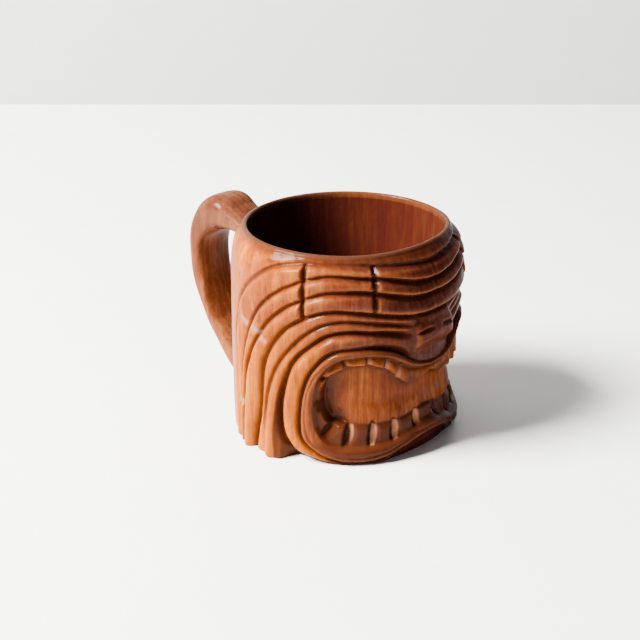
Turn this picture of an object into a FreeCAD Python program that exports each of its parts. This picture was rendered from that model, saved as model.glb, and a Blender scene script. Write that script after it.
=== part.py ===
import FreeCAD, Part
import math
import os

import Sketcher
from FreeCAD import Placement, Rotation, Vector

# A carved wooden tiki mug, in millimetres.
# Frame: origin at the centre of the base on the cup's axis, +Z up. The face
# looks along -Y and the handle stands out along +Y. The left side of the
# carving is at -X, and the right side mirrors it.

SIZES = {
    "cup_height": 100,
    "cup_side": 54.5,
    "cup_front": 53,
    "shoulder_start": 87,
    "shoulder_side": 51.5,
    "shoulder_front": 48.5,
    "rim_rounding": 3.5,
    "bore_side": 46.2,
    "bore_front": 43.4,
    "bore_low_side": 41.5,
    "bore_low_front": 39,
    "base_radius": 43.8,
    "base_thickness": 7,
    "base_gap": 0.1,
    "foot_radius": 57.5,
    "foot_rise": 42,
    "foot_spread": 11,
    "groove_depth": 1.8,
    "groove_width": 3.4,
    "notch_width": 2,
    "heel_gouge": 3.2,
    "heel_rise": 16,
    "lobe_radius": 22,
    "tooth_length": 6.5,
    "tooth_gap": 1.1,
    "tooth_face": 51.5,
    "mouth_floor": 48.5,
    "mouth_middle": 30.5,
    "channel_rise": 29,
    "chin_width": 38,
    "chin_rise": 7,
    "chin_floor": 49.5,
    "nose_width": 27,
    "nose_rise": 15,
    "nose_bottom": 55,
    "nose_reach": 57.5,
    "nose_rounding": 3,
    "nostril_width": 9,
    "nostril_rise": 1.6,
    "nostril_height": 61.5,
    "nostril_spacing": 14.5,
    "nostril_depth": 4,
    "dowel_radius": 1.95,
    "dowel_hole": 2,
    "dowel_spacing": 9,
    "dowel_in_wall": 6,
    "upper_dowel_height": 83.2,
    "upper_dowel_length": 24,
    "upper_dowel_slope": 10,
    "lower_dowel_height": 8.5,
    "lower_dowel_length": 18,
    "lower_dowel_slope": 30,
    "dowel_end_gap": 0.3,
}

# Lines of the carving on the left side, as (degrees from the face's centre,
# height). The forehead lines cross the centre, and all of them are mirrored.
FOREHEAD_LINES = {
    "brow_edge": [(0, 94), (33, 96), (68, 96), (88, 92), (103, 82), (113, 70), (118, 50), (120, 28)],
    "upper_band": [(0, 86), (23, 88.5), (53, 91), (76, 85.5), (91, 76), (104, 60), (111, 40), (115, 10)],
    "middle_band": [(0, 79.5), (23, 82), (48, 85.5), (66, 82), (83, 72), (96, 58), (105, 40), (108, 16)],
    "lower_band": [(0, 70.5), (23, 72.5), (53, 76.5), (66, 73.5), (80, 65), (91, 50), (98, 30), (101, 4)],
}
CHEEK_LINES = {
    "temple": [(17, 64), (38, 66), (58, 64), (68, 57), (75, 50), (82, 30), (82, 14)],
    "lip": [(17, 52), (28, 57), (48, 59), (61, 53), (69, 42), (72, 24), (67, 9)],
}
GROOVE_STEP = 11

NOTCH_ANGLES = [0, 34.5, -34.5, 69, -69]
NOTCH_SPAN = (72, 94)
FOOT_ANGLES = [87, 102]
HEEL_ANGLE = 77
LOBE_ANGLE = 41
TOOTH_GAP_ANGLES = range(-75, 226, 30)

# The handle's centreline in the YZ plane, from the cup's upper wall round to
# its lower wall: distance from the axis, height, heading in degrees above +Y,
# thickness and width of the section.
HANDLE_SECTIONS = [
    (48, 81.8, 4, 8.4, 20),
    (56, 83.3, 12, 7.6, 20),
    (62.5, 85.2, 16, 8, 20.5),
    (70, 87.4, 12, 11.8, 22),
    (77.5, 89, 0, 17.8, 23),
    (84.3, 86.4, -34, 17.4, 23),
    (89.2, 80.7, -56, 13.6, 23),
    (92, 74, -72, 10.4, 23),
    (92.8, 66, -86, 8.7, 22.5),
    (91.6, 56, -100, 8.5, 22.5),
    (88.6, 45, -110, 8, 22.5),
    (82.7, 32.6, -121, 7, 22),
    (76.6, 24.5, -129, 7.4, 22.5),
    (70.5, 18.1, -136, 9.4, 23.5),
    (64, 13, -147, 11.8, 24.5),
    (56.5, 9.8, -162, 13.6, 25),
    (48, 8.7, -176, 14.2, 25),
]

doc = FreeCAD.newDocument("tiki_mug")
sheet = doc.addObject("Spreadsheet::Sheet", "sizes")
for row, (alias, value) in enumerate(SIZES.items(), start=1):
    sheet.set(f"A{row}", alias)
    sheet.set(f"B{row}", str(value))
    sheet.setAlias(f"B{row}", alias)
doc.recompute()


def size(alias):
    return float(sheet.get(alias))


def make(kind, name, place=None, **expressions):
    """Add a feature whose sizes follow the sheet."""
    feature = doc.addObject(kind, name)
    feature.Placement = place or Placement()
    for prop, expression in expressions.items():
        feature.setExpression(prop, expression)
    return feature


def make_box(name, width, depth, rise, left, front, bottom):
    """Add a box from six expressions: its sizes, then its lowest corner."""
    box = make("Part::Box", name, Length=width, Width=depth, Height=rise)
    box.setExpression("Placement.Base.x", left)
    box.setExpression("Placement.Base.y", front)
    box.setExpression("Placement.Base.z", bottom)
    return box


def fuse(name, shapes):
    feature = doc.addObject("Part::MultiFuse", name)
    feature.Shapes = shapes
    return feature


def cut(name, base, tools):
    feature = doc.addObject("Part::Cut", name)
    feature.Base = base
    feature.Tool = tools[0] if len(tools) == 1 else fuse(f"{name}_tools", tools)
    return feature


def around(angle, distance, height=0.0):
    """A point at an angle in degrees from the face's centre, positive to the right."""
    turn = math.radians(angle)
    return Vector(distance * math.sin(turn), -distance * math.cos(turn), height)


def outline_radius(angle, side, front):
    """The radius of a half ellipse in front of the X axis and a half circle behind it."""
    turn = math.radians(angle)
    forward = front if math.cos(turn) > 0 else side
    return 1 / math.hypot(math.sin(turn) / side, math.cos(turn) / forward)


def skin(angle, height, proud=0.0):
    """A point on the uncarved outside, or this much outside it."""
    wall = outline_radius(angle, size("cup_side"), size("cup_front"))
    rim = outline_radius(angle, size("shoulder_side"), size("shoulder_front"))
    start = size("shoulder_start")
    climb = max(0.0, height - start) / (size("cup_height") - start)
    return around(angle, wall + (rim - wall) * climb + proud, height)


def origin_plane(body, role):
    return next(plane for plane in body.Origin.OriginFeatures if plane.Role == role)


def outline_sketch(body, name, side, front, height):
    """Draw a half circle behind the X axis and a flatter half ellipse in front of it."""
    sketch = body.newObject("Sketcher::SketchObject", name)
    sketch.AttachmentSupport = [(origin_plane(body, "XY_Plane"), "")]
    sketch.MapMode = "FlatFace"
    sketch.setExpression("AttachmentOffset.Base.z", height)
    centre = Vector(0, 0, 0)
    circle = Part.Circle(centre, Vector(0, 0, 1), size(side))
    ellipse = Part.Ellipse(centre, size(side), size(front))
    back = sketch.addGeometry(Part.ArcOfCircle(circle, 0, math.pi))
    face = sketch.addGeometry(Part.ArcOfEllipse(ellipse, math.pi, 2 * math.pi))
    sketch.exposeInternalGeometry(face)
    minor_axis = face + 2
    for constraint in (
        ("Coincident", back, 3, -1, 1),
        ("Coincident", face, 3, -1, 1),
        ("Coincident", back, 2, face, 1),
        ("Coincident", face, 2, back, 1),
        ("PointOnObject", back, 1, -1),
        ("PointOnObject", back, 2, -1),
    ):
        sketch.addConstraint(Sketcher.Constraint(*constraint))
    radius = sketch.addConstraint(Sketcher.Constraint("Radius", back, size(side)))
    sketch.renameConstraint(radius, "side_radius")
    sketch.setExpression("Constraints.side_radius", f"sizes.{side}")
    depth = sketch.addConstraint(Sketcher.Constraint("Distance", minor_axis, 2 * size(front)))
    sketch.renameConstraint(depth, "front_depth")
    sketch.setExpression("Constraints.front_depth", f"2 * sizes.{front}")
    return sketch


def level_edges(shape, height):
    """Name the edges that lie level at this height."""
    return [
        f"Edge{index}"
        for index, edge in enumerate(shape.Edges, start=1)
        if abs(edge.BoundBox.ZMin - height) < 0.01 and abs(edge.BoundBox.ZMax - height) < 0.01
    ]


def cup_blank():
    """The outside of the cup before carving, with its sloping, rounded shoulder."""
    body = doc.addObject("PartDesign::Body", "blank")
    wall = body.newObject("PartDesign::Pad", "blank_wall")
    wall.Profile = outline_sketch(body, "wall_outline", "cup_side", "cup_front", "0")
    wall.setExpression("Length", "sizes.shoulder_start")
    slope = body.newObject("PartDesign::AdditiveLoft", "blank_shoulder")
    slope.Profile = outline_sketch(body, "shoulder_outline", "cup_side", "cup_front", "sizes.shoulder_start")
    slope.Sections = [outline_sketch(body, "rim_outline", "shoulder_side", "shoulder_front", "sizes.cup_height")]
    slope.Ruled = True
    doc.recompute()
    rounding = body.newObject("PartDesign::Fillet", "blank_rim")
    rounding.Base = (slope, level_edges(slope.Shape, size("cup_height")))
    rounding.setExpression("Radius", "sizes.rim_rounding")
    return body


def drape_feet():
    """Two drapes on each side flare outwards as they come down to the base."""
    feet = []
    for side, word in ((-1, "left"), (1, "right")):
        for number, angle in enumerate(FOOT_ANGLES, start=1):
            start = side * angle - 90 - size("foot_spread") / 2
            place = Placement(Vector(), Rotation(Vector(0, 0, 1), start))
            feet.append(make(
                "Part::Cone", f"foot_{word}_{number}", place,
                Radius1="sizes.foot_radius", Radius2="sizes.cup_side - 0.5",
                Height="sizes.foot_rise", Angle="sizes.foot_spread",
            ))
    return feet


def carved_nose():
    """The nose stands proud of the face, with rounded front edges."""
    block = make_box(
        "nose_block", "sizes.nose_width", "sizes.nose_reach - sizes.mouth_floor", "sizes.nose_rise",
        "-sizes.nose_width / 2", "-sizes.nose_reach", "sizes.nose_bottom",
    )
    doc.recompute()
    nose = doc.addObject("Part::Fillet", "nose")
    nose.Base = block
    nose.Edges = [
        (index, size("nose_rounding"), size("nose_rounding"))
        for index, edge in enumerate(block.Shape.Edges, start=1)
        if abs(edge.BoundBox.YMax + size("nose_reach")) < 0.01
    ]
    return nose


def nostrils():
    """A slit on each side of the nose's ridge."""
    return [
        make_box(
            f"nostril_{word}", "sizes.nostril_width", "sizes.nostril_depth", "sizes.nostril_rise",
            f"{side} * sizes.nostril_spacing / 2 - sizes.nostril_width / 2",
            "-sizes.nose_reach - 1", "sizes.nostril_height",
        )
        for side, word in ((-1, "left"), (1, "right"))
    ]


def facet(*corners):
    return Part.Face(Part.makePolygon([*corners, corners[0]]))


def v_groove(name, points, width):
    """Follow a smooth line on the skin with a V: its tip in the wood, its open side outside."""
    line = Part.BSplineCurve()
    line.interpolate([Vector(angle, height, 0) for angle, height in points])
    spots = line.discretize(round(line.length() / GROOVE_STEP) + 1)
    depth = size("groove_depth")
    sections = []
    for number, spot in enumerate(spots):
        before, after = spots[max(number - 1, 0)], spots[min(number + 1, len(spots) - 1)]
        heading = skin(after.x, after.y) - skin(before.x, before.y)
        sideways = heading.cross(around(spot.x, 1)).normalize() * (size(width) * 0.75)
        mouth = skin(spot.x, spot.y, depth / 2)
        sections.append([skin(spot.x, spot.y, -depth), mouth + sideways, mouth - sideways])
    facets = [facet(*sections[0]), facet(*sections[-1])]
    for here, there in zip(sections, sections[1:]):
        for corner in range(3):
            following = (corner + 1) % 3
            facets.append(facet(here[corner], here[following], there[following]))
            facets.append(facet(here[corner], there[following], there[corner]))
    groove = doc.addObject("Part::Feature", name)
    groove.Shape = Part.makeSolid(Part.Shell(facets))
    return groove


def carved_lines():
    """The grooves between the forehead bands and around the cheeks."""
    grooves = []
    for name, points in FOREHEAD_LINES.items():
        left = [(-angle, height) for angle, height in reversed(points[1:])]
        grooves.append(v_groove(name, left + points, "groove_width"))
    for name, points in CHEEK_LINES.items():
        for side, word in ((-1, "left"), (1, "right")):
            mirrored = [(side * angle, height) for angle, height in points]
            grooves.append(v_groove(f"{name}_{word}", mirrored, "groove_width"))
    return grooves


def notches():
    """Rows of short V cuts that cross the forehead bands."""
    low, high = NOTCH_SPAN
    return [
        v_groove(f"notch_row_{number}", [(angle, low), (angle, high)], "notch_width")
        for number, angle in enumerate(NOTCH_ANGLES, start=1)
    ]


def cylinder_between(name, start, end, radius):
    place = Placement(start, Rotation(Vector(0, 0, 1), end - start))
    cylinder = make("Part::Cylinder", name, place, Radius=radius)
    cylinder.Height = (end - start).Length
    return cylinder


def heel_gouges():
    """A deep gouge behind each jaw, running out at the base."""
    return [
        cylinder_between(
            f"heel_{word}",
            around(side * HEEL_ANGLE, size("cup_side") - size("heel_gouge"), -2),
            around(side * HEEL_ANGLE, size("cup_side") + size("heel_gouge"), size("heel_rise") + 2),
            "sizes.heel_gouge",
        )
        for side, word in ((-1, "left"), (1, "right"))
    ]


def mouth_hollow(name, lobe, rise, floor):
    """A round lobe in each cheek joined by a channel, sunk to a curved floor."""
    outline = [make_box(
        f"{name}_channel", "sizes.cup_side", "30", rise,
        "-sizes.cup_side / 2", "-sizes.cup_front - 15", f"sizes.mouth_middle - ({rise}) / 2",
    )]
    for angle, word in ((-LOBE_ANGLE, "left"), (LOBE_ANGLE, "right")):
        place = Placement(
            around(angle, size("mouth_floor") / 2, size("mouth_middle")),
            Rotation(Vector(0, 0, 1), around(angle, 1)),
        )
        outline.append(make("Part::Cylinder", f"{name}_lobe_{word}", place, Radius=lobe, Height="sizes.cup_side"))
    core = make("Part::Cylinder", f"{name}_core", Radius=floor, Height="sizes.cup_height")
    return cut(name, fuse(f"{name}_outline", outline), [core])


def mouth():
    """The lips' opening down to the teeth, then the opening inside the teeth."""
    inside = "sizes.channel_rise - 1.5 * sizes.tooth_length"
    return [
        mouth_hollow("lips", "sizes.lobe_radius", "sizes.channel_rise", "sizes.tooth_face"),
        mouth_hollow("throat", "sizes.lobe_radius - sizes.tooth_length", inside, "sizes.mouth_floor"),
    ]


def tooth_gaps():
    """Short round cuts that radiate around each cheek lobe, between the teeth."""
    gaps = []
    outer = size("lobe_radius")
    inner = outer - size("tooth_length") - 1
    per_degree = math.radians(size("tooth_face"))
    for side, word in ((-1, "left"), (1, "right")):
        for number, turn in enumerate(TOOTH_GAP_ANGLES, start=1):
            across = math.cos(math.radians(turn)) * side / per_degree
            up = math.sin(math.radians(turn))
            ends = [
                around(side * LOBE_ANGLE + reach * across, size("tooth_face"), size("mouth_middle") + reach * up)
                for reach in (inner, outer)
            ]
            gaps.append(cylinder_between(f"tooth_gap_{word}_{number}", *ends, "sizes.tooth_gap"))
    return gaps


def chin_hollow():
    """The wood under the lower lip is cut back."""
    block = make_box(
        "chin_block", "sizes.chin_width", "30", "sizes.chin_rise + 1",
        "-sizes.chin_width / 2", "-sizes.cup_front - 10", "-1",
    )
    core = make("Part::Cylinder", "chin_core", Radius="sizes.chin_floor", Height="sizes.cup_height")
    core.setExpression("Placement.Base.z", "-2")
    return cut("chin", block, [core])


def bore():
    """The drinking space: wide and slightly flattened at the rim, narrower at the base."""
    body = doc.addObject("PartDesign::Body", "bore")
    loft = body.newObject("PartDesign::AdditiveLoft", "bore_loft")
    loft.Profile = outline_sketch(body, "bore_low_outline", "bore_low_side", "bore_low_front", "0")
    loft.Sections = [outline_sketch(body, "bore_rim_outline", "bore_side", "bore_front", "sizes.cup_height")]
    loft.Ruled = True
    return body


def dowel_rod(name, side, joint, radius, end_gap):
    """A rod through one of the handle's joints, as the dowel itself or as its hole."""
    height, length = f"{joint}_dowel_height", f"{joint}_dowel_length"
    slope = math.radians(size(f"{joint}_dowel_slope"))
    heading = Vector(0, math.cos(slope), math.sin(slope))
    joint_face = Vector(side * size("dowel_spacing") / 2, size("cup_side"), size(height))
    start = joint_face - heading * (size("dowel_in_wall") + end_gap)
    end = start + heading * (size(length) + 2 * end_gap)
    return cylinder_between(name, start, end, f"sizes.{radius}")


def handle_loft():
    """The handle's rounded bar before it is coped to the cup."""
    sections = []
    for number, (distance, height, heading, thickness, width) in enumerate(HANDLE_SECTIONS, start=1):
        place = Placement(Vector(0, distance, height), Rotation(Vector(1, 0, 0), heading - 90))
        section = make("Part::Ellipse", f"handle_section_{number}", place)
        section.MajorRadius = width / 2
        section.MinorRadius = thickness / 2
        sections.append(section)
    loft = doc.addObject("Part::Loft", "handle_bar")
    loft.Sections = sections
    loft.Solid = True
    return loft


JOINTS = [
    (f"{joint}_dowel_{word}", side, joint)
    for joint in ("upper", "lower")
    for side, word in ((-1, "left"), (1, "right"))
]

blank = cup_blank()
raised = fuse("raised_blank", [blank, *drape_feet(), carved_nose()])
banded = cut("banded", raised, carved_lines())
notched = cut("notched", banded, notches())
faced = cut("faced", notched, [*mouth(), chin_hollow(), *heel_gouges(), *nostrils()])
toothed = cut("toothed", faced, tooth_gaps())
rebate = make("Part::Cylinder", "rebate", Radius="sizes.base_radius + sizes.base_gap", Height="sizes.base_thickness")
holes = [dowel_rod(f"{name}_hole", side, joint, "dowel_hole", size("dowel_end_gap")) for name, side, joint in JOINTS]

parts = {
    "cup_body": cut("cup", toothed, [bore(), rebate, *holes]),
    "base_disc": make("Part::Cylinder", "disc", Radius="sizes.base_radius", Height="sizes.base_thickness"),
    "handle": cut("handle_cut", handle_loft(), [blank, *holes]),
}
for name, side, joint in JOINTS:
    parts[name] = dowel_rod(f"{name}_rod", side, joint, "dowel_radius", 0)
for label, part in parts.items():
    part.Label = label

doc.recompute()
for item in doc.Objects:
    if {"Invalid", "Error"} & set(item.State):
        raise RuntimeError(f"{item.Name} did not recompute")
for label, part in parts.items():
    if part.Shape.isNull() or not part.Shape.isValid():
        raise RuntimeError(f"{label} has no valid shape")

os.makedirs("parts", exist_ok=True)
for label, part in parts.items():
    part.Shape.exportStep(f"parts/{label}.step")
    print(f"{label}: {len(part.Shape.Solids)} solid, {part.Shape.Volume:.0f} mm3")
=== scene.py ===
import math

import bpy
import numpy as np
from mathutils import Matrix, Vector


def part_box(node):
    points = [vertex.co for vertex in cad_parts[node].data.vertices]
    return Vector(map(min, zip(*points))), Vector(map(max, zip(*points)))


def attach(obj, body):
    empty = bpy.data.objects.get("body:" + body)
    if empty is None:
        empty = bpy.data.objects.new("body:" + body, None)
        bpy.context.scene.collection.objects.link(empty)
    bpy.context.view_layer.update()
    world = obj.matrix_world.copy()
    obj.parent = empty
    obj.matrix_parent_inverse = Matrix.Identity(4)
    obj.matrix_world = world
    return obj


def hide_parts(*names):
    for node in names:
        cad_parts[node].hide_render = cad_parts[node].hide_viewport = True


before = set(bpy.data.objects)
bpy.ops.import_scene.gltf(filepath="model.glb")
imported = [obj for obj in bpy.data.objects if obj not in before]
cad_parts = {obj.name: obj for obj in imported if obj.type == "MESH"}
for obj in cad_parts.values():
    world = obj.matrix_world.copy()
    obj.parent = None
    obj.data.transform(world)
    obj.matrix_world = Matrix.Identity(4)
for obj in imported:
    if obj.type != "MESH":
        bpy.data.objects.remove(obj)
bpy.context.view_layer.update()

# The looks of a carved tiki mug. Lengths are in millimetres until a mesh is
# made, and angles in degrees round the cup from the face's centre.
# Frame: +Z up, the face looks along -Y, the handle stands out along +Y.
# The carving is drawn once, for one side, and mirrored. Only the long teeth,
# the tool ripples and the wood differ between the sides.

MM = 0.001
rng = np.random.default_rng(7)

_, cup_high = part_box("cup_body")
_, disc_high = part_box("base_disc")
CUP_HEIGHT = cup_high.z / MM
DISC_RADIUS = disc_high.x / MM
DISC_TOP = disc_high.z / MM
SIDE_RADIUS = 54.5
ARC = math.radians(SIDE_RADIUS)  # millimetres round the side for each degree

# The uncarved side from the base to the rim's outer edge: (height, radius).
SIDE_PROFILE = [
    (0, 53.8), (12, 54.2), (45, 54.5), (80, 54.4), (87, 53.9),
    (92, 53.0), (95.5, 51.7), (97.8, 49.9), (99.1, 48.3),
]
SIDE_TOP = 99.1
FRONT_FLATTENING = (1.6, 3.0)  # low down, and near the rim
CARVED_TO = 122  # the wood behind this angle is plain
RIM_THICKNESS = 2.3
BORE_RIM = 46.3
BORE_LOW = 41.6
REBATE_GAP = 0.1

# The gouged lines, outermost first: (angle, height).
LINES = {
    "brow": [
        (0, 93.5), (18, 94.5), (33, 95.5), (48, 96.3), (68, 96), (78, 95), (88, 92), (95, 88),
        (103, 82), (108, 77), (113, 70), (116, 60), (118, 50), (119.5, 35), (120, 20), (120, -4),
    ],
    "upper": [
        (0, 86), (13, 87), (23, 89), (34, 91), (53, 92), (60, 91.5), (68, 89.5), (76, 86),
        (83, 82), (91, 76), (97.5, 69), (103, 60), (107, 50), (109.3, 40), (110.5, 30),
        (111.5, 20), (112, -4),
    ],
    "middle": [
        (0, 79.5), (13, 80), (23, 82), (32, 84), (40, 85.5), (48, 85.5), (58, 84.5), (66, 82),
        (76, 77), (83, 72), (90, 65.5), (96, 58), (101, 50), (105, 40), (107, 30), (108, 20),
        (108, -4),
    ],
    "lower": [
        (0, 70.5), (13, 71), (23, 72.5), (33, 74.5), (43, 76), (53, 76.5), (60, 75.5), (66, 73.5),
        (73, 70), (80, 65), (86, 58), (91, 50), (93.5, 42), (94.2, 34), (94.6, 26), (95.8, 17),
        (98, 8), (100, 0), (100.5, -4),
    ],
    "lid": [
        (0, 65), (15, 66.5), (28, 69), (38, 70.5), (48, 71.5), (56, 70.5), (63, 68), (70, 63),
        (76, 57), (81, 51), (86, 43), (89.5, 33), (91, 24), (92.3, 12), (93, -4),
    ],
    "foot": [
        (0, 60), (14, 62), (28, 64.5), (38, 65.5), (48, 66), (58, 64), (68, 57), (75, 50),
        (80, 42), (83.5, 32), (84.8, 21), (85, 12), (84.8, 5), (84.6, -4),
    ],
    "jaw": [
        (0, 60), (14, 62), (28, 64.5), (38, 65.5), (48, 66), (58, 64), (68, 57), (75, 50),
        (79, 42), (82, 30), (82.5, 21), (81.5, 14), (79, 8), (75.5, 3.5), (70, 0.2), (60, -1.2),
        (48, -2), (36, -2), (24, -5), (0, -9),
    ],
    "lip": [
        (0, 46), (12, 48), (20, 53), (28, 56), (38, 58), (48, 58), (56, 56), (62, 51), (67, 44),
        (70, 36), (71.5, 28), (72, 20), (71, 13), (67, 8), (60, 4), (50, 1.5), (38, 0.8),
        (28, 2.5), (18, 6), (10, 9), (0, 10),
    ],
    "lip_crease": [
        (58, 51.5), (64, 44), (67.5, 36), (68.8, 28), (68.5, 19), (66, 12), (61, 8), (54, 5.2),
        (46, 4.2), (38, 4.3), (28, 5.8), (18, 8.8), (10, 11.5), (0, 12.5),
    ],
    "mouth": [
        (0, 44), (12, 45.5), (20, 49), (28, 53), (38, 54.5), (48, 54), (54, 52), (59, 48),
        (63, 42), (65, 34), (65.5, 26), (64, 18), (60, 12), (55, 8.8), (48, 7.8), (38, 8),
        (28, 8.5), (21, 9.5), (13, 11.5), (0, 15),
    ],
    "throat": [
        (0, 39.5), (6, 37.5), (12, 35.8), (17, 37), (22, 41.5), (28, 46), (36, 48.5), (45, 49),
        (53, 46.5), (58.5, 42), (61, 36), (61, 28), (58, 21.5), (52, 19.8), (43, 19.2), (33, 18.5),
        (23, 18.7), (13, 20), (0, 22.5),
    ],
}

# Each line's cut: its depth, and how far its slopes reach above and below it.
CUTS = {
    "brow": (1.6, 1.7, 2.4),
    "upper": (1.7, 1.3, 2.6),
    "middle": (1.8, 1.3, 2.8),
    "lower": (1.8, 1.3, 2.6),
    "lid": (1.5, 1.2, 2.2),
    "jaw": (2.9, 1.5, 3.2),
    "lip": (2.5, 1.6, 1.7),
    "lip_crease": (0.9, 0.9, 1.1),
}

# The bands between the lines: outer line, inner line, crown, tilt and level.
BANDS = [
    ("brow", "upper", 1.1, 0.5, 0.0),
    ("upper", "middle", 1.3, 0.7, 0.1),
    ("middle", "lower", 1.4, 0.8, 0.2),
    ("lower", "lid", 0.6, 0.3, -0.6),
    ("lid", "foot", 0.6, 0.2, -0.9),
    ("jaw", "lip", 1.3, 0.0, -0.2),
    ("lip", "mouth", 0.9, 0.0, 0.2),
]
FOREHEAD_BANDS = 3
JAW_BAND = 5
HEEL_DEPTH = 3.0  # of the step from the last drape's foot back to the jaw

# Cuts across the forehead bands: (angle, strength).
NOTCHES = [(0, 0.2), (35.5, 1.0), (70, 1.1)]

# Worn cuts across the drapes: (angle, height) of both ends.
DRAPE_CHIPS = [((112, 64), (104, 61)), ((101, 62), (89, 56)), ((116, 20), (104, 21))]
CHIP_DEPTH = 0.8

# The gaps between the teeth: (angle, height) at the gum and at the tip.
LOWER_TOOTH_GAPS = [
    ((50, 8.2), (47, 21)), ((36.8, 8), (34.8, 20.5)), ((24, 9), (22.3, 20)),
    ((9.5, 12), (8.2, 21.5)), ((62, 13.5), (54.5, 22)), ((66, 30), (57.5, 31)),
]
UPPER_TOOTH_GAPS = [
    ((63.5, 43.5), (56, 42)), ((51.5, 53.5), (47.5, 46)), ((39, 55), (37.5, 46.5)),
    ((28.5, 53.5), (28.5, 44)), ((20, 49.5), (22, 40)),
]
GAP_DEPTHS = (1.8, 3.8)  # of a lower gap at the gum and at the tip
UPPER_GAP_DEPTH = 4.4
TOOTH_LEVEL = -3.2
FLOOR_LEVEL = -5.8

# Where the carving meets the ground, by angle: the outline's radius, the
# height at which the wood starts to turn in, and how softly it turns.
BASE_OUTLINE = [
    (0, 48.1), (10, 48.4), (21, 49.4), (31, 51.8), (42, 53.0), (52, 52.2), (60, 50.2),
    (68, 47.4), (74, 46.4), (77.2, 46.2), (79.1, 49.3), (80.3, 53.0), (81.4, 55.5),
    (82.7, 56.6), (84.6, 57.8),
]
CURL_HEIGHTS = [
    (0, 9.8), (10, 8.8), (18, 5.8), (28, 2.6), (38, 2.2), (50, 3.2), (60, 4.5), (68, 6.5),
    (74, 9), (79, 15), (84.6, 20),
]
CURL_SOFTNESS = [(0, 0.25), (18, 0.3), (30, 0.9), (50, 1.0)]
CURL_POWERS = [(0, 0.6), (30, 1.3), (60, 1.5)]
CURL_END = 84.6


def smoothstep(low, high, value):
    """0 at low, 1 at high, and smooth between them; high may be the smaller."""
    t = np.clip((value - low) / (high - low), 0, 1)
    return t * t * (3 - 2 * t)


def lens(x):
    """1 at 0, falling to 0 at -1 and 1 as an ellipse does."""
    return np.sqrt(np.clip(1 - x**2, 0, 1))


def lookup(table, value):
    return np.interp(value, *zip(*table))


def catmull_rom(before, start, end, after, t):
    return 0.5 * (
        2 * start + (end - before) * t
        + (2 * before - 5 * start + 4 * end - after) * t**2
        + (3 * start - before - 3 * end + after) * t**3
    )


def with_end_knots(points):
    knots = np.array(points, dtype=float)
    return np.vstack([2 * knots[0] - knots[1], knots, 2 * knots[-1] - knots[-2]])


def smooth_line(points, spacing=0.8):
    """A smooth line through (angle, height) points, laid flat in millimetres."""
    knots = with_end_knots([(angle * ARC, height) for angle, height in points])
    line = []
    for before, start, end, after in zip(knots, knots[1:], knots[2:], knots[3:]):
        count = max(2, int(np.linalg.norm(end - start) / spacing))
        line += [catmull_rom(before, start, end, after, t) for t in np.arange(count) / count]
    return np.array(line + [knots[-2]])


def signed_distance(line, across, up):
    """Distance to a flat line, positive on its outer side, away from the mouth."""
    nearest = np.full(across.shape, np.inf)
    side = np.ones(across.shape)
    for start, end in zip(line, line[1:]):
        step = end - start
        dx, dy = across - start[0], up - start[1]
        t = np.clip((dx * step[0] + dy * step[1]) / (step @ step), 0, 1)
        gap = (dx - t * step[0]) ** 2 + (dy - t * step[1]) ** 2
        closer = gap < nearest
        nearest = np.where(closer, gap, nearest)
        side = np.where(closer, np.sign(step[0] * dy - step[1] * dx), side)
    return np.sqrt(nearest) * np.where(side == 0, 1, side)


def mirrored_start(points):
    """Continue a line past the face's centre, so that both sides meet smoothly."""
    angle, height = points[1]
    return [(-angle, height)] + points


def mirrored_ends(points):
    angle, height = points[-2]
    return mirrored_start(points) + [(-angle, height)]


def line_distances(across, up):
    distances = {}
    for name, points in LINES.items():
        if name in ("lip", "mouth", "throat"):
            points = mirrored_ends(points)
        elif name != "lip_crease":
            points = mirrored_start(points)
        distances[name] = signed_distance(smooth_line(points), across, up)
    return distances


def skin_radius(angle, height):
    """The uncarved outside: round, a little flatter at the front, closing at the rim."""
    low, high = FRONT_FLATTENING
    flat = low + (high - low) * smoothstep(84, 99, height)
    return lookup(SIDE_PROFILE, height) - flat * smoothstep(56, 2, np.abs(angle))


def grooves(d, angle, height):
    """How deep the gouged lines cut at each place."""
    drape = 1 + 0.25 * smoothstep(70, 15, height)
    beside_nose = smoothstep(13, 24, angle)
    over_mouth = smoothstep(40, 50, height)
    gouge = smoothstep(12, 17, angle) * smoothstep(40, 26, angle) * over_mouth
    strength = {
        "upper": drape,
        "middle": drape,
        "lower": drape,
        "lid": beside_nose * smoothstep(4, 26, height),
        "jaw": beside_nose,
        "lip": beside_nose * (1 - 0.4 * smoothstep(62, 50, angle) * over_mouth),
        "lip_crease": smoothstep(55, 42, height),
    }
    deepest = np.zeros(angle.shape)
    for name, (depth, above, below) in CUTS.items():
        depth = depth * strength.get(name, 1.0)
        if name == "lip":
            depth = depth + gouge
            above = above + 1.4 * gouge
        reach = np.where(d[name] > 0, above, below)
        cut = depth * np.clip(1 - np.abs(d[name]) / reach, 0, 1) ** 1.25
        deepest = np.maximum(deepest, cut)
    return deepest


def band_place(d, outer, inner):
    """Where a point lies across a band: 0 at its outer line, 1 at its inner line."""
    inside = (d[outer] <= 0) & (d[inner] > 0)
    into = np.maximum(-d[outer], 0)
    left = np.maximum(d[inner], 0)
    return inside, into / np.maximum(into + left, 1e-6)


def foot_spread(number, t):
    """How far a band's foot stands out at the base, across the band."""
    if number < 2:
        return 0.3 + number
    if number == 2:
        return 0.6 + 1.6 * smoothstep(0, 0.5, t) * smoothstep(1.0, 0.62, t)
    if number == 3:
        return 1.0 + 0.5 * t
    if number == 4:
        return 1.9 + 2.5 * smoothstep(0, 0.7, t) - 0.6 * smoothstep(0.8, 1, t)
    return 0


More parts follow.
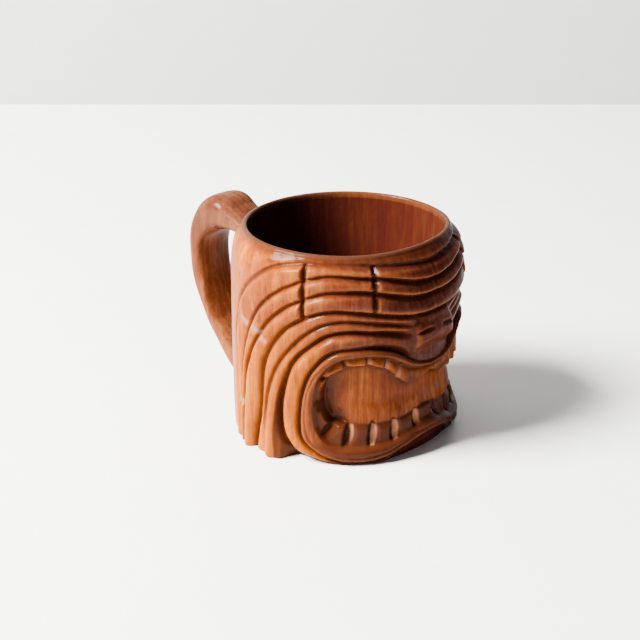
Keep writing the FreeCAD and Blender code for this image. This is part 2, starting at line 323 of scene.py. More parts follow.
def bands(d, angle, height):
    """The swelling of the bands, which step out like shingles towards the base."""
    foot = smoothstep(62, 4, height)
    front = smoothstep(64, 36, angle)
    over_mouth = smoothstep(48, 30, angle) * smoothstep(45, 56, height)
    swell = np.zeros(angle.shape)
    for number, (outer, inner, crown, tilt, level) in enumerate(BANDS):
        inside, t = band_place(d, outer, inner)
        peak = 0.5
        if number < FOREHEAD_BANDS:
            peak = 0.3 + 0.42 * front + 0.25 * foot * (number == 2)
            tilt = tilt + 0.8 * front - 0.9 * (1 - front)
        away = (t - peak) / np.where(t < peak, peak, 1 - peak)
        shape = level + crown * (1 - away**2) + tilt * (t - 0.5)
        shape = shape + foot * foot_spread(number, t)
        if number == JAW_BAND:
            shape = shape - over_mouth * (0.8 + 1.6 * t)
        swell = np.where(inside, shape, swell)
    inside, t = band_place(d, "foot", "jaw")
    return np.where(inside, foot * HEEL_DEPTH * (1 - t), swell)


def notches(d, angle):
    """Rows of short scooped cuts across the forehead bands, narrow at the lines."""
    cut = np.zeros(angle.shape)
    for outer, inner, *_ in BANDS[:FOREHEAD_BANDS]:
        inside, t = band_place(d, outer, inner)
        open_middle = lens(2 * t - 1)
        for place, strength in NOTCHES:
            off = (angle - place) * ARC
            half_width = np.where(off > 0, 0.7 + 1.1 * open_middle, 0.6 + 1.7 * open_middle)
            slope = np.clip(1 - np.abs(off) / half_width, 0, 1)
            cut = np.maximum(cut, inside * strength * (0.9 + 2.0 * open_middle) * slope)
    return cut


def straight_distance(start, end, angle, height):
    """Distance to a straight cut, signed by its side, and how far along it a point lies."""
    step_x, step_y = (end[0] - start[0]) * ARC, end[1] - start[1]
    dx, dy = (angle - start[0]) * ARC, height - start[1]
    length = math.hypot(step_x, step_y)
    along = (dx * step_x + dy * step_y) / length**2
    off = (dx * step_y - dy * step_x) / length
    return off, along


def drape_chips(angle, height):
    """Shallow worn cuts across the drapes."""
    chips = np.zeros(angle.shape)
    for start, end in DRAPE_CHIPS:
        off, along = straight_distance(start, end, angle, height)
        ends = smoothstep(0, 0.15, along) * smoothstep(1, 0.85, along)
        chips = np.maximum(chips, ends * np.clip(1.3 - np.abs(off) / 1.8, 0, 1))
    return chips


def tooth_gap_cuts(gaps, angle, height, steep, gentle, pointed):
    """Scooped cuts between teeth, with masks for a painted highlight on their gentle sides and
    painted shade on their steep sides.
    """
    cut, lit, dark = np.zeros((3, *angle.shape))
    for start, end in gaps:
        off, along = straight_distance(start, end, angle, height)
        if pointed:
            off = -off
            spread = np.clip(along + 0.12, 0, 1) ** 0.8
        else:
            spread = np.sin(np.pi * np.clip(along * 0.8 + 0.1, 0, 1)) ** 0.6
        spread = spread * ((along > -0.1) & (along < 1.15))
        width = np.where(off > 0, steep, gentle)
        slope = np.clip(1 - np.abs(off) / np.maximum(width * spread, 0.05), 0, 1)
        gentle_side = smoothstep(-0.3, -0.8, off) * smoothstep(0.3, 0.8, spread)
        steep_side = smoothstep(-0.9, -0.3, off) * spread
        cut = np.maximum(cut, spread * slope)
        lit = np.maximum(lit, smoothstep(0.22, 0.5, slope) * gentle_side)
        dark = np.maximum(dark, smoothstep(0.1, 0.5, slope) * steep_side)
    return cut, lit, dark


def mouth_surface(d, angle, height, lips):
    """The lips with the mouth sunk in them: teeth all round and a floor behind.

    Also gives where the gaps between the teeth get a painted highlight and where they get painted
    shade.
    """
    into = np.maximum(-d["mouth"], 0)
    behind = d["throat"]
    q = into / np.maximum(into + np.maximum(behind, 0), 1e-6)
    upper = smoothstep(30, 42, height)
    gum_line = 0.5 * np.exp(-(((into - 2.4) / 0.4) ** 2)) * (1 - upper)
    crown = 0.7 * (1 - (2 * q - 1) ** 2)
    teeth = TOOTH_LEVEL - 0.4 * upper + crown + (2.6 * upper - 0.3) * q + gum_line
    corner = smoothstep(40, 54, angle) * smoothstep(46, 34, height)
    raised = smoothstep(31, 21, height) * smoothstep(54, 44, angle)
    floor = FLOOR_LEVEL + 1.6 * raised - 3.0 * corner * smoothstep(16, 0, -behind)

    lower_gaps, lower_highlight, lower_shade = tooth_gap_cuts(
        LOWER_TOOTH_GAPS, angle, height, steep=2.1, gentle=5.0, pointed=False)
    upper_gaps, upper_highlight, upper_shade = tooth_gap_cuts(
        UPPER_TOOTH_GAPS, angle, height, steep=2.2, gentle=3.6, pointed=True)
    gum_depth, tip_depth = GAP_DEPTHS
    teeth = np.maximum(teeth - UPPER_GAP_DEPTH * upper_gaps, floor)
    teeth = teeth - lower_gaps * (gum_depth + (tip_depth - gum_depth) * q)
    inner = np.minimum(floor + (teeth - floor) * smoothstep(-0.2, 0.7, behind), teeth)
    wall = smoothstep(0, 2.2 - 1.0 * upper, into)
    surface = np.where(d["mouth"] < 0, lips + (inner - lips) * wall, lips)

    among_teeth = smoothstep(0.8, 1.6, into) * smoothstep(-0.3, 0.3, behind)
    lower_highlight = lower_highlight * smoothstep(47.5, 44.5, angle)
    lit = np.maximum(lower_highlight * (1 - upper), 0.45 * upper_highlight * upper) * among_teeth
    dark = np.maximum(lower_shade * (1 - upper), upper_shade * upper) * among_teeth
    return surface, lit, dark


def nose(angle, height):
    """A low block with two slit nostrils: its outline and how far it stands proud."""
    x = angle * ARC
    bottom = smoothstep(53.2, 59.5, height + 0.12 * x)
    outline = smoothstep(14.8, 11.6, x) * bottom * smoothstep(71.5, 68.3, height)
    proud = 3.3 - 2.2 * smoothstep(60, 69.5, height) - 0.5 * smoothstep(9, 13, x)
    proud = proud - 2.2 * np.clip(1 - np.hypot(x - 12.6, (height - 68.6) * 0.8) / 2.6, 0, 1)
    slit_x, slit_length, slit_height = 7.6, 5.0, 62.6
    opening = lens((x - slit_x) / slit_length)
    below = np.abs(height - slit_height + 0.1 * (x - 8))
    slit = 2.2 * opening * np.clip(1 - below / (0.2 + 0.9 * opening), 0, 1)
    return outline, proud - slit


def long_teeth(side_angle, height):
    """The right side's upper teeth hang lower: where they fill the mouth, and their level."""
    pitch = 9.5
    row = smoothstep(13, 21, side_angle) * smoothstep(60, 54, side_angle)
    across_tooth = 2 * np.abs(((side_angle - 24) / pitch + 0.5) % 1 - 0.5)
    tip = 39.0 - 4.0 * across_tooth**0.7
    fill = row * smoothstep(tip - 1.0, tip + 0.8, height) * smoothstep(57, 54, height)
    return fill, -1.2 - 2.4 * (1 - across_tooth) ** 2


def base_curl(angle, height, radius):
    """Pull the lower lip and the jaw in towards the base, down to its outline."""
    curl = np.clip(1 - height / lookup(CURL_HEIGHTS, angle), 0, 1)
    curl = np.clip(curl / lookup(CURL_SOFTNESS, angle), 0, 1) ** lookup(CURL_POWERS, angle)
    pulled = radius + (np.minimum(lookup(BASE_OUTLINE, angle), radius) - radius) * curl
    return np.where(angle < CURL_END, pulled, radius)


def blur(field, passes=1):
    """Soften the field a little along both directions; the angles close on themselves."""
    for _ in range(passes):
        below, above = np.vstack([field[:1], field[:-1]]), np.vstack([field[1:], field[-1:]])
        field = 0.25 * below + 0.5 * field + 0.25 * above
        field = 0.25 * np.roll(field, 1, 1) + 0.5 * field + 0.25 * np.roll(field, -1, 1)
    return field


def concavity(radius, passes):
    """Positive in hollows and negative on ridges."""
    return blur(radius, passes) - radius


def ripples(angle, height, amplitude, size, count=14):
    """Low bumps of random direction, as a hand-held gouge leaves them."""
    total = np.zeros(angle.shape)
    for _ in range(count):
        turns = np.round(rng.uniform(-1, 1) * 360 * ARC / size)
        rise = rng.uniform(-1, 1) * 2 * np.pi / size
        phase = rng.uniform(0, 2 * np.pi)
        total += np.sin(np.radians(angle) * turns + height * rise + phase)
    return total * amplitude / math.sqrt(count)


def stain_and_light_marks(d, angle, height, lit):
    """Where the wood's tone changes and where light and shade are painted, each from 0 to 1."""
    floor = smoothstep(0.5, -1.5, d["throat"])
    upper_teeth = smoothstep(-0.8, -1.4, d["mouth"]) * smoothstep(36, 42, height)

    inner_lip = smoothstep(0.4, -0.4, d["mouth"])
    outer_lip = smoothstep(1.0, -0.5, d["lip"]) * (0.35 + 0.35 * smoothstep(66, 52, angle))
    lower_lip = smoothstep(0.5, -0.3, d["lip_crease"]) * smoothstep(15, 9, height)
    lips = np.maximum(np.maximum(inner_lip, outer_lip), lower_lip)
    lips = lips * (1 - floor) * (1 - 0.7 * upper_teeth)

    depth = -d["throat"]
    corner = smoothstep(38, 56, angle) * smoothstep(52, 40, height) * smoothstep(13, 1, depth)
    shade_under_teeth = 0.6 * smoothstep(2.6, 0.4, depth) * smoothstep(38, 43, height)
    # Painted shade: darker in the mouth's deep corner and along the floor under the upper teeth,
    # and lighter where the tooth gaps get painted highlights.
    lips = np.maximum(lips, floor * np.maximum(corner, shade_under_teeth)) * (1 - 0.9 * lit)
    # Painted shade in the heel step below the drapes' feet, low down.
    heel_shade = smoothstep(0.3, -0.3, d["foot"]) * smoothstep(-0.8, 0.4, d["jaw"])
    lips = np.maximum(lips, heel_shade * smoothstep(50, 25, height))

    jaw_band = smoothstep(0, -1.5, d["jaw"]) * smoothstep(0, 1.0, d["lip"])
    jaw_band = jaw_band * smoothstep(56, 72, angle)
    # Painted shade: darker towards the front, less on the mouth floor and upper teeth, and less
    # where painted highlights lie.
    face = smoothstep(90, 36, angle) * (1 - 0.68 * np.maximum(floor, upper_teeth))
    # Painted light: the sides brighter and more golden, less on the high drapes; the jaw band gets
    # it as a painted highlight.
    high_drapes = smoothstep(45, 75, height) * smoothstep(116, 100, angle)
    side_light = smoothstep(66, 90, angle) * smoothstep(160, 118, angle) * (1 - 0.8 * high_drapes)
    return {
        "in_mouth": smoothstep(0.2, -0.6, d["mouth"]),
        "lips": lips,
        "face": face * (1 - jaw_band) * (1 - 0.8 * lit),
        "side_light": np.maximum(side_light, 0.8 * jaw_band),
        "back": smoothstep(118, 150, angle),
    }


def carve_one_side(angle, height):
    """The carved and the uncarved radius of one side, and its marks."""
    d = line_distances(angle * ARC, height)
    skin = skin_radius(angle, height)
    chips = drape_chips(angle, height)
    notch = notches(d, angle)
    relief = bands(d, angle, height) - grooves(d, angle, height) - notch - CHIP_DEPTH * chips
    relief, lit, dark = mouth_surface(d, angle, height, relief)
    outline, proud = nose(angle, height)
    relief = relief + (np.maximum(proud, relief) - relief) * outline
    radius = base_curl(angle, height, skin + relief)
    radius = skin + (radius - skin) * smoothstep(CARVED_TO, CARVED_TO - 1.5, angle)
    marks = stain_and_light_marks(d, angle, height, lit)
    # The gentle sides of the tooth gaps get a painted highlight; the notches and the gaps' steep
    # sides get painted shade.
    marks.update(chips=chips, scoops=lit, notch=np.maximum(np.clip(notch / 2.5, 0, 1), dark))
    return radius, skin, marks


def carved_outside(angles, heights):
    """The outside radius over a grid of angles and heights, and the marks on it."""
    columns, both_sides = np.unique(np.round(np.abs(angles), 4), return_inverse=True)
    radius, skin, marks = carve_one_side(*np.meshgrid(columns, heights))
    radius, skin = radius[:, both_sides], skin[:, both_sides]
    marks = {name: mark[:, both_sides] for name, mark in marks.items()}

    angle, height = np.meshgrid(angles, heights)
    fill, level = long_teeth(angle, height)
    radius = radius + (np.maximum(skin + level, radius) - radius) * fill
    marks["lips"] = np.maximum(marks["lips"], 0.6 * fill)
    carved = smoothstep(CARVED_TO, CARVED_TO - 4, np.abs(angle))
    radius = radius + ripples(angle, height, 0.09, 9) * (0.4 + 0.6 * carved)
    radius = radius + ripples(angle, height, 0.05, 4) * carved
    return blur(radius), marks


def add_piece(mesh):
    mesh.polygons.foreach_set("use_smooth", [True] * len(mesh.polygons))
    mesh.update()
    piece = bpy.data.objects.new(mesh.name, mesh)
    bpy.context.scene.collection.objects.link(piece)
    return piece


def quad_mesh(name, points, faces):
    """A piece from large arrays of points and of four-cornered faces."""
    mesh = bpy.data.meshes.new(name)
    mesh.vertices.add(len(points))
    mesh.vertices.foreach_set("co", (points * MM).ravel())
    mesh.loops.add(faces.size)
    mesh.loops.foreach_set("vertex_index", faces.astype(np.int32).ravel())
    mesh.polygons.add(len(faces))
    mesh.polygons.foreach_set("loop_start", np.arange(0, faces.size, 4, dtype=np.int32))
    mesh.update(calc_edges=True)
    mesh.validate()
    return add_piece(mesh)


def polygon_mesh(name, points, faces):
    """A piece from lists of points and of faces with any number of corners."""
    mesh = bpy.data.meshes.new(name)
    mesh.from_pydata([Vector(point) * MM for point in points], [], faces)
    return add_piece(mesh)


def grid_faces(rows, columns):
    """Quads of a grid that closes on itself both ways."""
    row, column = np.meshgrid(np.arange(rows), np.arange(columns), indexing="ij")
    next_row, next_column = (row + 1) % rows, (column + 1) % columns
    corners = [row * columns + column, row * columns + next_column,
               next_row * columns + next_column, next_row * columns + column]
    return np.stack([corner.ravel() for corner in corners], axis=1)


def add_attribute(piece, name, values):
    made = piece.data.attributes.new(name, "FLOAT", "POINT")
    made.data.foreach_set("value", values.astype(np.float32))


def cup_angles():
    """Fine steps over the carving and coarse ones over the plain back, from -180 to 180."""
    fine, coarse, fine_to = 0.45, 1.4, CARVED_TO + 2
    front = np.arange(-fine_to, fine_to + 0.01, fine)
    back = np.arange(fine_to + coarse, 360 - fine_to - coarse / 2, coarse)
    angles = np.concatenate([front, back])
    return np.where(angles > 180, angles - 360, angles)


def build_cup():
    """The carved block as one closed skin: outside, rim, bore, rebate and foot ring."""
    angles = cup_angles()
    heights = np.arange(0.6, 98.6, 0.42)
    outside, marks = carved_outside(angles, heights)
    # The fine hollows carry stain and painted shade in the grooves, and wear and painted highlight
    # on the ridges; the broad ones carry only painted shade.
    marks["hollow"] = concavity(outside, passes=14)
    marks["valley_shade_depth"] = concavity(outside, passes=70)

    rows, row_marks = [], []

    def add_row(radius, height, **values):
        rows.append((np.broadcast_to(radius, angles.shape), height))
        row_marks.append(values)

    def marks_at(index, names=tuple(marks)):
        return {name: marks[name][index] for name in names}

    add_row(outside[0] - 0.45, 0.0, **marks_at(0))
    add_row(outside[0] - 0.12, 0.2, **marks_at(0))
    for index, height in enumerate(heights):
        add_row(outside[index], height, **marks_at(index))

    rim_outer = outside[-1]
    rim_inner = BORE_RIM * skin_radius(angles, SIDE_TOP) / skin_radius(180.0, SIDE_TOP)
    rim_middle = rim_inner + RIM_THICKNESS / 2
    rim_marks = marks_at(-1, [name for name in marks if name not in ("hollow", "valley_shade_depth")])
    for turn in np.radians(np.arange(25, 181, 19.375)):
        reach = np.where(np.cos(turn) > 0, rim_outer - rim_middle, RIM_THICKNESS / 2)
        height = heights[-1] + (CUP_HEIGHT - heights[-1]) * math.sin(turn)
        add_row(rim_middle + reach * np.cos(turn), height, rim=1.0, **rim_marks)

    for height in np.concatenate([np.arange(97, 12, -2.5), [10.5, 9.2, 8.2, 7.5, DISC_TOP]]):
        share = (height - DISC_TOP) / (CUP_HEIGHT - DISC_TOP)
        wall = BORE_LOW + (rim_inner - BORE_LOW) * share**0.85
        tuck = 1.6 * np.clip(1 - (height - DISC_TOP) / 3.5, 0, 1) ** 2
        # The bore is marked for painted shade inside the cup.
        add_row(wall - tuck, height, bore=1.0)
    rebate = DISC_RADIUS + REBATE_GAP
    add_row(rebate, DISC_TOP)
    add_row(rebate, 0.4)
    add_row(rebate + 0.3, 0.0)

    turn = np.radians(angles)
    x, y = np.sin(turn), -np.cos(turn)
    points = np.concatenate([
        np.stack([radius * x, radius * y, np.full(turn.shape, height)], axis=1)
        for radius, height in rows
    ])
    cup = quad_mesh("carved_cup", points, grid_faces(len(rows), len(angles)))
    for name in [*marks, "rim", "bore"]:
        values = [np.broadcast_to(row.get(name, 0.0), angles.shape) for row in row_marks]
        add_attribute(cup, name, np.concatenate(values))
    return cup


# The handle's line in the YZ plane: distance from the axis, height, thickness, width.
HANDLE_LINE = [
    (50, 82.2, 8.4, 20.5), (56, 83.3, 7.8, 20.5), (62.5, 85.2, 8.2, 21), (70, 87.4, 11.8, 22.5),
    (77.5, 88.9, 17.6, 24), (84.3, 86.2, 17, 24), (89.2, 80.7, 13.4, 24), (92, 74, 10.2, 24),
    (92.8, 66, 8.6, 23.5), (91.6, 56, 8.3, 23.5), (88.6, 45, 7.8, 23), (82.7, 32.6, 7, 23),
    (76.6, 24.5, 7.4, 23), (70.5, 18.1, 9.2, 24), (64, 13, 11.6, 25), (56.5, 9.8, 13.4, 25.5),
    (50, 8.8, 13.8, 25.5),
]
HANDLE_RINGS = 170
HANDLE_COLUMNS = 56
HANDLE_SQUARENESS = 3.4  # the section's corners: 2 is an ellipse, more is squarer


def spline(points, count):
    """A smooth line of many columns through rows of numbers."""
    knots = with_end_knots(points)
    rows = []
    for place in np.linspace(0, len(points) - 1, count):
        index = min(int(place), len(points) - 2)
        rows.append(catmull_rom(*knots[index:index + 4], place - index))
    return np.array(rows)


def rounded_square(value):
    return np.sign(value) * np.abs(value) ** (2 / HANDLE_SQUARENESS)


def build_handle():
    """A rounded bar, carved broader and thicker at its top bend, coped to the cup."""
    line = spline(HANDLE_LINE, HANDLE_RINGS)
    heading = np.gradient(line[:, :2], axis=0)
    heading /= np.linalg.norm(heading, axis=1, keepdims=True)
    outward = np.stack([-heading[:, 1], heading[:, 0]], axis=1)
    turn = np.linspace(0, 2 * np.pi, HANDLE_COLUMNS, endpoint=False)
    side, depth = rounded_square(np.cos(turn)), rounded_square(np.sin(turn))
    rings = []
    for (reach, height, thickness, width), (out_y, out_z) in zip(line, outward):
        wander = 0.12 * np.sin(3 * turn + height * 0.11) + 0.1 * np.sin(5 * turn - height * 0.23)
        x = side * (width / 2 + wander)
        off = depth * (thickness / 2 + wander)
        z = height + out_z * off
        wall = np.sqrt(np.maximum(skin_radius(180.0, z) ** 2 - x**2, 1)) - 0.2
        rings.append(np.stack([x, np.maximum(reach + out_y * off, wall), z], axis=1))

    faces = []
    first_cap = HANDLE_RINGS * HANDLE_COLUMNS
    last_ring = first_cap - HANDLE_COLUMNS
    for step in range(HANDLE_COLUMNS):
        after = (step + 1) % HANDLE_COLUMNS
        for row in range(0, last_ring, HANDLE_COLUMNS):
            next_row = row + HANDLE_COLUMNS
            faces.append((row + step, next_row + step, next_row + after, row + after))
        faces.append((first_cap, step, after))
        faces.append((first_cap + 1, last_ring + after, last_ring + step))
    caps = [rings[0].mean(axis=0), rings[-1].mean(axis=0)]
    return polygon_mesh("carved_handle", [*np.concatenate(rings), *caps], faces)


def build_base():
    """The turned bottom: slightly dished inside, with shallow tool rings underneath."""
    profile = [(20, DISC_TOP - 0.45), (34, DISC_TOP - 0.2), (41, DISC_TOP - 0.02),
               (DISC_RADIUS, DISC_TOP), (DISC_RADIUS, 0.5), (DISC_RADIUS - 0.4, 0.05)]
    ring_spacing = 1.5
    for radius in np.arange(42.5, 4, -ring_spacing):
        profile.append((radius, 0.12 if round(radius / ring_spacing) % 2 else 0.2))
    columns = 144
    turn = np.linspace(0, 2 * np.pi, columns, endpoint=False)
    points = [(r * math.cos(a), r * math.sin(a), z) for r, z in profile for a in turn]
    centre_top, centre_below = len(points), len(points) + 1
    points += [(0, 0, DISC_TOP - 0.5), (0, 0, 0.15)]
    faces = []
    last = (len(profile) - 1) * columns
    for step in range(columns):
        after = (step + 1) % columns
        for row in range(0, last, columns):
            faces.append((row + step, row + columns + step, row + columns + after, row + after))
        faces.append((centre_top, step, after))
        faces.append((centre_below, last + after, last + step))
    return polygon_mesh("turned_base", points, faces)


def node(tree, kind, inputs=None, **settings):
    """Add a shader node, set its properties, and link or set its inputs."""
    made = tree.nodes.new(kind)
    for name, value in settings.items():
        setattr(made, name, value)
    for name, value in (inputs or {}).items():
        if isinstance(value, bpy.types.NodeSocket):
            tree.links.new(value, made.inputs[name])
        else:
            made.inputs[name].default_value = value
    return made


def ramp(tree, factor, stops):
    made = node(tree, "ShaderNodeValToRGB", {"Fac": factor})
    elements = made.color_ramp.elements
    while len(elements) < len(stops):
        elements.new(0.5)
    for element, (place, colour) in zip(elements, stops):
        element.position = place
        element.color = (*colour, 1)
    return made.outputs["Color"]


def with_alpha(colour):
    return (*colour, 1) if isinstance(colour, tuple) else colour


def mix(tree, factor, first, second, blend="MIX"):
    """Mix two colours, which are inputs 6 and 7 of a mixing node and its output 2."""
    inputs = {0: factor, 6: with_alpha(first), 7: with_alpha(second)}
    return node(tree, "ShaderNodeMix", inputs, data_type="RGBA", blend_type=blend).outputs[2]


def maths(tree, operation, first, second, clamp=False):
    inputs = {0: first, 1: second}
    made = node(tree, "ShaderNodeMath", inputs, operation=operation, use_clamp=clamp)
    return made.outputs[0]


def scaled(tree, value, factor):
    return maths(tree, "MULTIPLY", value, factor)


def remap(tree, value, low, high, to_low=0.0, to_high=1.0):
    inputs = {"Value": value, "From Min": low, "From Max": high}
    inputs.update({"To Min": to_low, "To Max": to_high})
    return node(tree, "ShaderNodeMapRange", inputs).outputs["Result"]


def attribute(tree, name):
    return node(tree, "ShaderNodeAttribute", attribute_name=name).outputs["Fac"]


def bump(tree, height, strength, distance, **more):
    inputs = {"Height": height, "Strength": strength, "Distance": distance, **more}
    return node(tree, "ShaderNodeBump", inputs).outputs["Normal"]


# The cup's tints over its bare wood, in order: mark, strength and colour. The front's tint is
# painted shade, the sides' is painted light, and the back's is the wood's own tone.
TINTS_AND_PAINTED_LIGHT = [
    ("face", 0.95, (0.22, 0.235, 1.5)),
    ("side_light", 1.0, (1.5, 1.6, 0.1)),
    ("back", 1.0, (0.6, 0.75, 2.2)),
]
# Painted shade in the broad hollows, at the front and on the sides.
FRONT_VALLEY_SHADE = (0.04, 0.0088, 0.0025)
SIDE_VALLEY_SHADE = (0.115, 0.029, 0.006)
# Stains, painted shade and painted highlights over the tints, in order: mark, strength and colour.
STAINS_AND_PAINTED_LIGHT = [
    # Stain on the lips, with painted shade in the mouth's corner, under the upper teeth and in the
    # heel step.
    ("lips", 0.92, (0.036, 0.0088, 0.0032)),
    # Stain and painted shade in the grooves.
    ("groove", 0.5, (0.026, 0.0065, 0.0024)),
    # Painted shade in the notches and on the steep sides of the tooth gaps.
    ("notch", 0.8, (0.016, 0.0045, 0.002)),
    ("rim", 0.85, (0.04, 0.014, 0.007)),
    ("worn", 1.0, (0.24, 0.12, 0.07)),
    # Painted highlight on the gentle sides of the tooth gaps.
    ("scoops", 0.6, (0.36, 0.145, 0.075)),
    # Painted shade inside the cup.
    ("bore", 0.86, (0.016, 0.0027, 0.0032)),
]


def wood_noises(tree, place, grain_axis):
    """The parts of the grain, from broad to fine, each drawn out along it."""
    def drawn_out(across, along):
        scale = [along if axis == grain_axis else across for axis in "XYZ"]
        return node(tree, "ShaderNodeMapping", {"Vector": place, "Scale": scale}).outputs["Vector"]

    def noise(across, along, detail, roughness=0.5):
        inputs = {"Scale": 1.0, "Detail": detail, "Roughness": roughness}
        inputs["Vector"] = drawn_out(across, along)
        return node(tree, "ShaderNodeTexNoise", inputs).outputs["Fac"]

    wave = {"Scale": 1.0, "Distortion": 9.0, "Detail": 3.0, "Detail Scale": 0.9}
    wave["Vector"] = drawn_out(95, 9)
    rings = node(tree, "ShaderNodeTexWave", wave, wave_type="BANDS", bands_direction="X")
    return {
        "warp": noise(22, 9, 3),
        "rings": rings.outputs["Fac"],
        "fibres": noise(1500, 70, 4, 0.65),
        "pores": noise(2600, 260, 2),
        "patches": noise(85, 28, 5, 0.65),
        "streaks": noise(420, 16, 3, 0.6),
    }


def bare_wood(tree, noises, dark, middle, light):
    """The wood's colour before any stain."""
    figure = scaled(tree, maths(tree, "SUBTRACT", noises["warp"], 0.5), 0.3)
    for name, share in (("rings", 0.05), ("fibres", 0.3), ("patches", 0.45), ("streaks", 0.24)):
        figure = maths(tree, "ADD", figure, scaled(tree, noises[name], share))
    colour = ramp(tree, figure, [(0.36, dark), (0.52, middle), (0.7, light)])
    flecks = remap(tree, noises["pores"], 0.66, 0.74)
    return mix(tree, scaled(tree, flecks, 0.55), colour, tuple(part * 0.35 for part in dark))


def stain_and_light_carving(tree, colour, light, patches):
    """Tints over whole areas, painted light on the sides and painted shade at the front; wear and
    painted highlight on the ridges, painted shade in the valleys, and stains, painted shade and
    painted highlights at the cuts.
    """
    for mark, strength, tint in TINTS_AND_PAINTED_LIGHT:
        colour = mix(tree, scaled(tree, attribute(tree, mark), strength), colour, tint, "MULTIPLY")
    hollow = attribute(tree, "hollow")
    # Wear and painted highlight: lighter on the ridges.
    ridge_wear_and_highlight = remap(tree, hollow, -0.1, -0.6)
    colour = mix(tree, scaled(tree, ridge_wear_and_highlight, 0.2), colour, tuple(part * 1.2 for part in light))
    # Painted shade: darker in the broad hollows.
    valley_shade = remap(tree, attribute(tree, "valley_shade_depth"), -0.2, 0.9)
    valley_shade_colour = mix(tree, attribute(tree, "side_light"), FRONT_VALLEY_SHADE, SIDE_VALLEY_SHADE)
    colour = mix(tree, scaled(tree, valley_shade, 0.8), colour, valley_shade_colour)
    worn = maths(tree, "MULTIPLY", attribute(tree, "chips"), scaled(tree, patches, 1.3), clamp=True)
    made = {"groove": remap(tree, hollow, 0.15, 1.2), "worn": worn}
    for mark, strength, stain in STAINS_AND_PAINTED_LIGHT:
        amount = made[mark] if mark in made else attribute(tree, mark)
        colour = mix(tree, scaled(tree, amount, strength), colour, stain)
    return colour


def wood(name, dark, middle, light, grain_axis="Z", gloss=0.3, carved=False, tint_by_height=None):
    """Lacquered hardwood with its grain along one axis, and with stain and wear; carved wood also
    gets painted light and shade.
    """
    material = bpy.data.materials.new(name)
    material.use_nodes = True
    tree = material.node_tree
    shader = tree.nodes["Principled BSDF"]
    place = node(tree, "ShaderNodeTexCoord").outputs["Object"]
    noises = wood_noises(tree, place, grain_axis)
    colour = bare_wood(tree, noises, dark, middle, light)
    rough = remap(tree, noises["patches"], 0.3, 0.7, gloss, gloss + 0.14)

    # The handle is tinted darker and bluer at its top and lighter below.
    if tint_by_height:
        height = node(tree, "ShaderNodeSeparateXYZ", {"Vector": place}).outputs["Z"]
        shade = mix(tree, remap(tree, height, *tint_by_height), (0.78, 0.8, 1.2), (1.8, 1.9, 1.9))
        colour = mix(tree, 1.0, colour, shade, "MULTIPLY")
    if carved:
        colour = stain_and_light_carving(tree, colour, light, noises["patches"])
        rough = maths(tree, "ADD", rough, scaled(tree, attribute(tree, "in_mouth"), 0.12))

    fibre_bump = bump(tree, noises["fibres"], 0.16, 0.0003)
    dents = node(tree, "ShaderNodeTexNoise", {"Vector": place, "Scale": 260.0, "Detail": 2})
    dent_bump = bump(tree, dents.outputs["Fac"], 0.22, 0.0006, Normal=fibre_bump)
    tree.links.new(colour, shader.inputs["Base Color"])
    tree.links.new(rough, shader.inputs["Roughness"])
    tree.links.new(dent_bump, shader.inputs["Normal"])
    tree.links.new(fibre_bump, shader.inputs["Coat Normal"])
    shader.inputs["IOR"].default_value = 1.5
    shader.inputs["Specular IOR Level"].default_value = 0.01
    shader.inputs["Specular Tint"].default_value = (1.0, 0.45, 0.2, 1)
    shader.inputs["Coat Weight"].default_value = 0.075
    shader.inputs["Coat Roughness"].default_value = 0.08
    return material


def plain(name, colour, roughness):
    """A faintly mottled surface for the stage."""
    material = bpy.data.materials.new(name)
    material.use_nodes = True
    tree = material.node_tree
    shader = tree.nodes["Principled BSDF"]
    place = node(tree, "ShaderNodeTexCoord").outputs["Object"]
    mottle = node(tree, "ShaderNodeTexNoise", {"Vector": place, "Scale": 60.0, "Detail": 5})
    darker = tuple(part * 0.97 for part in colour)
    mottled = ramp(tree, mottle.outputs["Fac"], [(0.3, darker), (0.7, colour)])
    tree.links.new(mottled, shader.inputs["Base Color"])
    shader.inputs["Roughness"].default_value = roughness
    return material


# The view, in metres and degrees: where the camera stands, the way it faces
# and how far it tips down.
CAMERA_PLACE = Vector((-0.5017, -0.4350, 0.3224))
CAMERA_FACING = -48.0
CAMERA_TILT = 22.27
CAMERA_LENS = 84.4
CAMERA_SENSOR = 36
WALL_DISTANCE = 0.62
WALL_HEIGHT = 0.5
TABLE_FRONT = -2.5
STAGE_HALF_WIDTH = 3


def facing(distance, across=0.0, height=0.0):
    """A point this far behind the mug, straight away from the camera."""
    turn = math.radians(CAMERA_FACING)
    ahead = Vector((-math.sin(turn), math.cos(turn), 0))
    right = Vector((math.cos(turn), math.sin(turn), 0))
    return ahead * distance + right * across + Vector((0, 0, height))


def sheet(name, corners, material):
    mesh = bpy.data.meshes.new(name)
    mesh.from_pydata(corners, [], [(0, 1, 2, 3)])
    mesh.update()
    mesh.materials.append(material)
    piece = bpy.data.objects.new(name, mesh)
    bpy.context.scene.collection.objects.link(piece)


def build_stage():
    half, wall = STAGE_HALF_WIDTH, WALL_DISTANCE
    table = plain("pale_table", (0.86, 0.855, 0.845), 0.5)
    backdrop = plain("pale_wall", (0.42, 0.42, 0.425), 0.9)
    table_corners = [facing(TABLE_FRONT, -half), facing(TABLE_FRONT, half),
                     facing(wall, half), facing(wall, -half)]
    wall_corners = [facing(wall, -half), facing(wall, half),
                    facing(wall, half, WALL_HEIGHT), facing(wall, -half, WALL_HEIGHT)]
    sheet("table_top", table_corners, table)
    sheet("wall", wall_corners, backdrop)


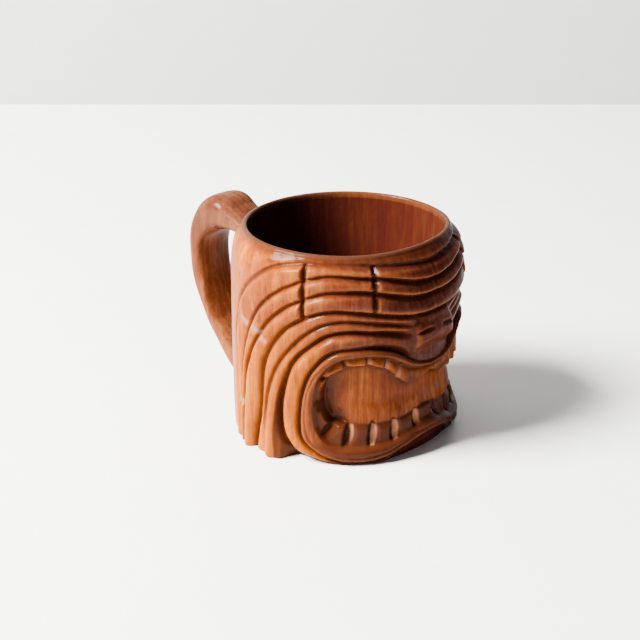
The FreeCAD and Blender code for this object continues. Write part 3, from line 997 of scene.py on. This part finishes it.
def area_light(name, place, size, power, colour=(1, 1, 1)):
    """A square soft light turned towards the middle of the mug."""
    data = bpy.data.lights.new(name, "AREA")
    data.size = size
    data.energy = power
    data.color = colour
    lamp = bpy.data.objects.new(name, data)
    lamp.location = place
    lamp.rotation_euler = (Vector((0, 0, 0.05)) - place).to_track_quat("-Z", "Y").to_euler()
    bpy.context.scene.collection.objects.link(lamp)


def build_lights():
    area_light("window", facing(-0.33, -1.02, 1.03), size=0.6, power=245, colour=(1.0, 0.98, 0.95))
    area_light("front_fill", facing(-1.4, -0.3, 1.1), size=1.2, power=0.5)
    world = bpy.data.worlds.new("room")
    world.use_nodes = True
    background = world.node_tree.nodes["Background"]
    background.inputs["Color"].default_value = (0.9, 0.93, 1.0, 1)
    background.inputs["Strength"].default_value = 0.15
    bpy.context.scene.world = world


def build_camera():
    data = bpy.data.cameras.new("view")
    data.lens = CAMERA_LENS
    data.sensor_width = CAMERA_SENSOR
    data.clip_end = 20
    camera = bpy.data.objects.new("view", data)
    camera.location = CAMERA_PLACE
    camera.rotation_euler = (math.radians(90 - CAMERA_TILT), 0, math.radians(CAMERA_FACING))
    bpy.context.scene.collection.objects.link(camera)
    bpy.context.scene.camera = camera


build_camera()
build_stage()
build_lights()

# Each wood has a dark, a middle and a light tone.
cup_wood = wood(
    "cup_wood", (0.065, 0.0105, 0.0015), (0.15, 0.03, 0.0035), (0.28, 0.078, 0.009), carved=True)
handle_wood = wood(
    "handle_wood", (0.033, 0.0072, 0.003), (0.075, 0.02, 0.006), (0.14, 0.046, 0.014),
    tint_by_height=(0.09, 0.035))
base_wood = wood(
    "base_wood", (0.07, 0.016, 0.006), (0.16, 0.045, 0.015), (0.27, 0.095, 0.035), grain_axis="X")
dowel_wood = wood(
    "dowel_wood", (0.36, 0.22, 0.11), (0.52, 0.35, 0.19), (0.66, 0.48, 0.29),
    grain_axis="Y", gloss=0.6)

for piece, node_name, slot, material in (
    (build_cup(), "cup_body", "carved_wood", cup_wood),
    (build_handle(), "handle", "handle_wood", handle_wood),
    (build_base(), "base_disc", "base_wood", base_wood),
):
    piece.data.materials.append(material)
    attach(piece, "root")
    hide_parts(node_name)

for node_name, cad_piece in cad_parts.items():
    if "dowel" in node_name:
        cad_piece.data.materials.clear()
        cad_piece.data.materials.append(dowel_wood)
